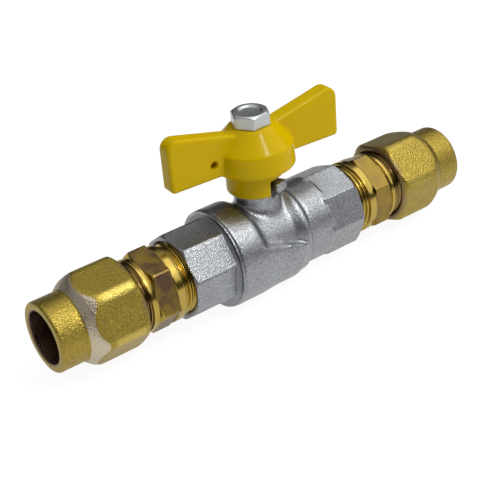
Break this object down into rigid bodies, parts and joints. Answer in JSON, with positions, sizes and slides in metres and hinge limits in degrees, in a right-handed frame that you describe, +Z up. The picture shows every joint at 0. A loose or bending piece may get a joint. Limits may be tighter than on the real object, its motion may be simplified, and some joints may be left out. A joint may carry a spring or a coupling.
{
  "type": "gas ball valve",
  "caption": "Brass gas ball valve with a yellow butterfly handle, octagonal wrench ends and a compression fitting with hexagon nut at each end.",
  "frame": {"origin": "centre of the left pipe socket's mouth, on the pipe axis", "axes": "+X along the pipe axis from the left nut to the right nut, +Z up along the stem to the handle, +Y across the pipe, away from the side with the stop lug"},
  "size_m": [0.144, 0.0294, 0.0553],
  "materials": {
    "plated_brass": "satin nickel or chrome plating on blasted brass",
    "black_rubber": "smooth moulded rubber",
    "graphite": "pressed graphite",
    "polished_chrome": "polished chrome plating",
    "white_ptfe": "turned PTFE",
    "machined_brass": "bright turned brass",
    "yellow_paint": "glossy yellow paint on die-cast metal",
    "zinc_steel": "bright zinc plating",
    "forged_brass": "blasted forging, matte"
  },
  "bodies": {
    "valve": {"body": "plated_brass", "end_cap": "plated_brass", "cap_o_ring": "black_rubber", "cap_graphite_ring": "graphite", "seat_ring_left": "white_ptfe", "seat_ring_right": "white_ptfe", "stem_thrust_washer": "white_ptfe", "adapter_left": "machined_brass", "adapter_right": "machined_brass"},
    "handle_group": {"handle": "yellow_paint", "handle_screw": "zinc_steel", "stem": "machined_brass", "ball": "polished_chrome", "stem_o_ring_lower": "black_rubber", "stem_graphite_ring": "graphite", "stem_o_ring_upper": "black_rubber"},
    "compression_ring_left_group": {"compression_ring_left": "machined_brass"},
    "compression_ring_right_group": {"compression_ring_right": "machined_brass"},
    "nut_left_group": {"nut_left": "forged_brass"},
    "nut_right_group": {"nut_right": "forged_brass"}
  },
  "joints": [
    {"name": "handle_turn", "type": "hinge", "parent": "valve", "child": "handle_group", "pos_m": [0.072, 0, 0], "axis": [0, 0, 1], "range_deg": [-86, 4]},
    {"name": "nut_left_travel", "type": "slide", "parent": "valve", "child": "compression_ring_left_group", "axis": [-1, 0, 0], "range_m": [0, 0.0015]},
    {"name": "nut_left_turn", "type": "hinge", "parent": "compression_ring_left_group", "child": "nut_left_group", "pos_m": [0.0042, 0, 0], "axis": [-1, 0, 0], "range_deg": [0, 360]},
    {"name": "nut_right_travel", "type": "slide", "parent": "valve", "child": "compression_ring_right_group", "axis": [1, 0, 0], "range_m": [0, 0.0015]},
    {"name": "nut_right_turn", "type": "hinge", "parent": "compression_ring_right_group", "child": "nut_right_group", "pos_m": [0.1398, 0, 0], "axis": [1, 0, 0], "range_deg": [0, 360]}
  ],
  "couplings": [
    {"joint": "nut_left_travel", "follows": "nut_left_turn", "m_per_rad": 0.00023873},
    {"joint": "nut_right_travel", "follows": "nut_right_turn", "m_per_rad": 0.00023873}
  ]
}
